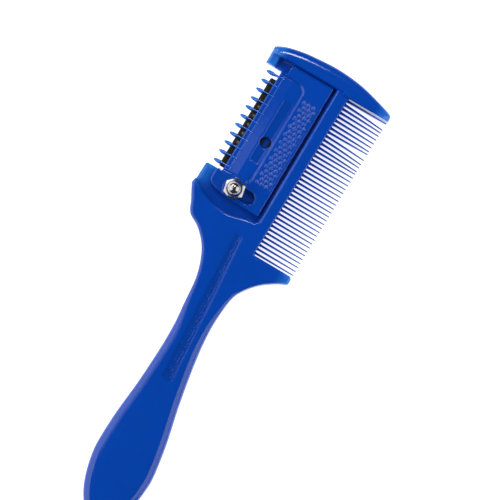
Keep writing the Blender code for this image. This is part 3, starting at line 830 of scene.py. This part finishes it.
class COMB_OT_ribs(bpy.types.Operator):
    """The carrier's thin ribs over the blade"""

    bl_idname = "comb.ribs"
    bl_label = "Ribs"

    def execute(self, context):
        """Sections with a rounded back, carried from the sloping face to just past the blade's edge, where
        they close along a quarter circle."""
        index = np.arange(GUARD_TEETH)[:, None, None]
        s = np.concatenate([[0.0, 0.05, 0.12], np.linspace(0.25, 0.85, 5), [0.9, 0.94, 0.97, 0.99, 1.0]])
        s = s[None, :, None]
        across, up = superellipse(14, 2.6)
        close = np.sqrt(np.clip(1 - (np.clip(s - 0.88, 0, None) / 0.125) ** 2, 0, 1))
        half = 0.23 * (0.45 + 0.55 * close)
        low, high = CARRIER_Z + 0.02, LIP_TOP + 0.32 - 0.12 * s
        high = low + (high - low) * (0.25 + 0.75 * close)
        x = RIB_ROOT_X + s * (RIB_TIP_X - RIB_ROOT_X) + 0 * across + 0 * index
        y = GUARD_FIRST - index * GUARD_PITCH + half * across
        z = (low + high) / 2 + (high - low) / 2 * up + 0 * x
        points, groups = tubes(np.stack([x, y, z], axis=-1))
        # Painted light: the ribs grow lighter towards their tips, as light shining through them.
        thin = np.broadcast_to(0.4 + 0.3 * s, x.shape).ravel()
        add_piece("blade_ribs", points, groups, "blade_carrier", cobalt_plastic(context.scene.comb_colours),
                  "cobalt_plastic", thin=thin)
        return {"FINISHED"}


class COMB_OT_blade(bpy.types.Operator):
    """The double-edge blade"""

    bl_idname = "comb.blade"
    bl_label = "Blade"

    def execute(self, context):
        """A flat sheet over an outline of one quarter and its mirror images, less the slot and the hole.
        Within 0.9 mm of a cutting edge each face slopes straight towards the other. The dashes are a smooth
        step round the middles of the gaps between the ribs, in a lane along the edge."""
        step = 0.22
        middle_x, middle_y = (BLADE_LEFT + BLADE_RIGHT) / 2, (BLADE_LOW + BLADE_HIGH) / 2
        half_x, half_end = (BLADE_RIGHT - BLADE_LEFT) / 2, (BLADE_HIGH - BLADE_LOW) / 2
        half_edge, half_tab = BLADE_EDGE_HALF, BLADE_TAB_HALF
        quarter = [(half_x, half_edge - 0.4), (half_x - 0.4, half_edge), (half_tab + 0.5, half_edge),
                   (half_tab, half_edge + 0.5), (half_tab, half_end - 0.6), (half_tab - 0.6, half_end)]
        upper = quarter + [(-x, y) for x, y in reversed(quarter)]
        rim = upper + [(-x, -y) for x, y in upper]
        outline = polygon_distance([(middle_x + x, middle_y + y) for x, y in rim])
        slot_x = WINDOW[0] + 0.1
        slot_half_x, slot_half_y = BLADE_SLOT_HALF
        slot = box_distance(slot_x - slot_half_x, slot_x + slot_half_x, middle_y - slot_half_y,
                            middle_y + slot_half_y)

        def inside(x, y):
            eye = np.hypot(x - middle_x, y - middle_y - 4.0) - 2.2
            return np.min([outline(x, y), -slot(x, y), eye], axis=0)

        def from_edge(x):
            return half_x - np.abs(x - middle_x)

        def top(x, y):
            return BLADE_Z[1] - 0.045 * np.clip(1 - from_edge(x) / 0.9, 0, 1)

        def bottom(x, y):
            return BLADE_Z[0] + 0.045 * np.clip(1 - from_edge(x) / 0.9, 0, 1)

        xs = np.arange(BLADE_LEFT - 2 * step, BLADE_RIGHT + 2 * step, step)
        ys = np.arange(BLADE_LOW - 2 * step, BLADE_HIGH + 2 * step, step)
        points, groups = relief_solid(xs, ys, inside, top, bottom, [], step)
        x, y = points[:, 0], points[:, 1]
        thin = np.clip(1 - from_edge(x) / 0.45, 0, 1)
        lane = ease(1 - np.abs(x - BLADE_LEFT - 1.6) / 0.4 + 0.4)
        place = (y - GUARD_FIRST) / GUARD_PITCH + 0.5
        phase = np.abs(place - np.round(place))
        dash = lane * ease((0.13 - phase) / 0.05) * (np.abs(y - 23.5) < 9.5)
        add_piece("blade_sheet", points, groups, "razor_blade", blade_steel(context.scene.comb_colours),
                  "dark_blade_steel", thin=thin, dash=dash)
        return {"FINISHED"}


class COMB_OT_screw(bpy.types.Operator):
    """The clamp screw"""

    bl_idname = "comb.screw"
    bl_label = "Screw"

    def execute(self, context):
        """A hexagon head with turned corners, then a shaft whose radius follows a triangle wave of the height
        over the thread's pitch less the share of a turn."""
        low, high = SCREW_Z
        head_top = 2.0
        pitch, count = THREAD_PITCH, 96
        in_thread = 9.0
        head = [(0.0, low), (2.9, low), (3.4, low + 0.02), (4.0, low + 0.35), (4.05, head_top - 0.15),
                (3.9, head_top - 0.02), (3.3, head_top), (2.0, head_top), (1.85, head_top + 0.1)]
        rows = np.arange(head_top + 0.3, high - 0.4, pitch / 8)
        radius = np.concatenate([[r for r, _ in head], np.full(len(rows), in_thread), [1.5, 1.1, 0.0]])
        z = np.concatenate([[h for _, h in head], rows, [high - 0.25, high, high]])
        angle = np.radians(NUT_CORNER_DEG) + math.tau * np.arange(count) / count
        wave = np.abs(((z[:, None] / pitch - angle[None, :] / math.tau) % 1) - 0.5) * 2
        threaded = (radius == in_thread)[:, None]
        turn = angle - np.radians(NUT_CORNER_DEG)
        hexagon = NUT_FLATS / 2 / np.cos(turn % (math.pi / 3) - math.pi / 6)
        r = np.where(threaded, 1.6 + 0.3 * wave, np.minimum(radius[:, None], hexagon[None, :]))
        rings = np.stack([r * np.cos(turn), r * np.sin(turn), np.repeat(z[:, None], count, axis=1)], axis=-1)
        points, groups = tubes(rings[None])
        zinc = plated_steel("zinc_plate", context.scene.comb_colours.zinc, 0.22, 0.38)
        add_piece("screw_steel", points, groups, "clamp_screw", zinc, "zinc_plate", sharp_deg=30.0)
        return {"FINISHED"}


class COMB_OT_washer(bpy.types.Operator):
    """The split spring washer"""

    bl_idname = "comb.washer"
    bl_label = "Washer"

    def execute(self, context):
        """A rounded section carried 348 degrees round the screw."""
        low, high = WASHER_Z
        s = np.linspace(0, 1, 97)[None, :, None]
        angle = np.radians(100 + 348 * s)
        across, up = superellipse(24, 6.0)
        radius = 2.85 + 0.65 * across
        z = (low + high) / 2 + (high - low) / 2 * up + 0 * angle
        points, groups = tubes(np.stack([radius * np.cos(angle), radius * np.sin(angle), z], axis=-1))
        zinc = plated_steel("zinc_plate", context.scene.comb_colours.zinc, 0.22, 0.38)
        add_piece("washer_ring", points, groups, "spring_washer", zinc, "zinc_plate")
        return {"FINISHED"}


class COMB_OT_nut(bpy.types.Operator):
    """The chrome dome nut"""

    bl_idname = "comb.nut"
    bl_label = "Dome nut"

    def execute(self, context):
        """One profile from the blind hole's end round the hexagon to the dome's top, turned about the screw
        axis, and cut back to the hexagon wherever it reaches further."""
        low, high = NUT_Z
        shoulder = low + 3.2
        a = np.radians(np.linspace(4, 90, 24))
        dome_low = shoulder + 0.2
        inner = [(0.0, low + 4.9), (1.0, low + 4.7), (2.15, low + 4.1), (2.2, low + 0.4), (2.45, low + 0.05),
                 (2.6, low), (3.2, low)]
        chamfer = [(3.3 + t, low + 0.42 * t) for t in np.linspace(0, 0.85, 12)]
        upper = [(4.15 - t, shoulder - 0.1 - 0.45 * (0.85 - t)) for t in np.linspace(0, 0.85, 14)]
        foot = [(3.3, shoulder - 0.12), (3.2, shoulder - 0.06), (3.05, shoulder), (2.97, shoulder + 0.1)]
        outer = [*inner, *chamfer, *upper, *foot]
        radius = np.concatenate([[r for r, _ in outer], 2.95 * np.cos(a)])
        z = np.concatenate([[h for _, h in outer], dome_low + (high - dome_low) * np.sin(a)])
        points, groups = turned(radius, z, hexagon_reach(NUT_FLATS))
        chrome = plated_steel("chrome_plate", context.scene.comb_colours.chrome, 0.13, 0.2)
        add_piece("nut_chrome", points, groups, "dome_nut", chrome, "chrome_plate", sharp_deg=28.0)
        return {"FINISHED"}


class COMB_OT_stage(bpy.types.Operator):
    """Floor, lights and camera"""

    bl_idname = "comb.stage"
    bl_label = "Stage"

    def execute(self, context):
        studio = context.scene.comb_studio
        half = FLOOR_HALF
        mesh = bpy.data.meshes.new("floor")
        mesh.from_pydata([(-half, -half, -0.0002), (half, -half, -0.0002), (half, half, -0.0002),
                          (-half, half, -0.0002)], [], [(0, 1, 2, 3)])
        mesh.materials.append(studio_white("studio_floor", studio.floor, studio.glow))
        floor = bpy.data.objects.new("floor", mesh)
        context.scene.collection.objects.link(floor)
        world = bpy.data.worlds.new("studio")
        world.use_nodes = True
        world.node_tree.nodes["Background"].inputs["Color"].default_value = (1.0, 1.0, 1.0, 1.0)
        world.node_tree.nodes["Background"].inputs["Strength"].default_value = studio.room
        context.scene.world = world
        aim = Vector((SCREW.x + AIM_FROM_SCREW[0] * MM, SCREW.y + AIM_FROM_SCREW[1] * MM, AIM_Z * MM))
        right, up = self.view_axes()
        for name, (side, along, away, wide, tall) in LIGHTS.items():
            light = bpy.data.lights.new(name, "AREA")
            light.shape = "RECTANGLE"
            light.energy, light.size, light.size_y = getattr(studio, name), wide, tall
            lamp = bpy.data.objects.new(name, light)
            lamp.location = aim + right * side + up * along + Vector((0, 0, away))
            lamp.rotation_euler = (aim - lamp.location).to_track_quat("-Z", "Y").to_euler()
            context.scene.collection.objects.link(lamp)
        self.add_camera(context, studio.distance, aim, right, up)
        context.scene.view_settings.view_transform = "Standard"
        return {"FINISHED"}

    def view_axes(self):
        """The view's right and up in plan: the comb's +Y leans clockwise from up."""
        lean = math.radians(VIEW_LEAN_DEG)
        return Vector((math.cos(lean), math.sin(lean), 0.0)), Vector((-math.sin(lean), math.cos(lean), 0.0))

    def add_camera(self, context, distance, aim, right, up):
        """A long lens that looks at the face from a little below and takes in VIEW_WIDTH of it."""
        tilt = math.radians(VIEW_TILT_DEG)
        back = Vector((0, 0, 1)) * math.cos(tilt) - up * math.sin(tilt)
        upright = up * math.cos(tilt) + Vector((0, 0, 1)) * math.sin(tilt)
        data = bpy.data.cameras.new("camera")
        data.sensor_width = 36.0
        data.lens = data.sensor_width * distance / VIEW_WIDTH
        data.clip_start, data.clip_end = 0.01, 20.0
        camera = bpy.data.objects.new("camera", data)
        turn = Matrix((right, upright, back)).transposed()
        camera.matrix_world = Matrix.Translation(aim + back * distance) @ turn.to_4x4()
        context.scene.collection.objects.link(camera)
        context.scene.camera = camera


PIECES = (COMB_OT_stage, COMB_OT_moulding, COMB_OT_fine_teeth, COMB_OT_guard_teeth, COMB_OT_carrier,
          COMB_OT_ribs, COMB_OT_blade, COMB_OT_screw, COMB_OT_washer, COMB_OT_nut)
SETTINGS = (("comb_sizes", CombSizes), ("comb_colours", CombColours), ("comb_studio", StudioSettings))


class COMB_PT_panel(bpy.types.Panel):
    """Lists the comb's settings and its pieces"""

    bl_idname = "COMB_PT_panel"
    bl_label = "Grooming comb"
    bl_space_type = "VIEW_3D"
    bl_region_type = "UI"
    bl_category = "Comb"

    def draw(self, context):
        for name, group in SETTINGS:
            settings = getattr(context.scene, name)
            box = self.layout.box()
            for key in group.__annotations__:
                box.prop(settings, key)
        for piece in PIECES:
            self.layout.operator(piece.bl_idname)


def register():
    for _, group in SETTINGS:
        bpy.utils.register_class(group)
    for name, group in SETTINGS:
        setattr(bpy.types.Scene, name, PointerProperty(type=group))
    for made in (*PIECES, COMB_PT_panel):
        bpy.utils.register_class(made)


def unregister():
    for made in (COMB_PT_panel, *reversed(PIECES)):
        bpy.utils.unregister_class(made)
    for name, group in SETTINGS:
        delattr(bpy.types.Scene, name)
        bpy.utils.unregister_class(group)


def main():
    register()
    for piece in PIECES:
        group, name = piece.bl_idname.split(".")
        getattr(getattr(bpy.ops, group), name)()


if __name__ == "__main__":
    main()
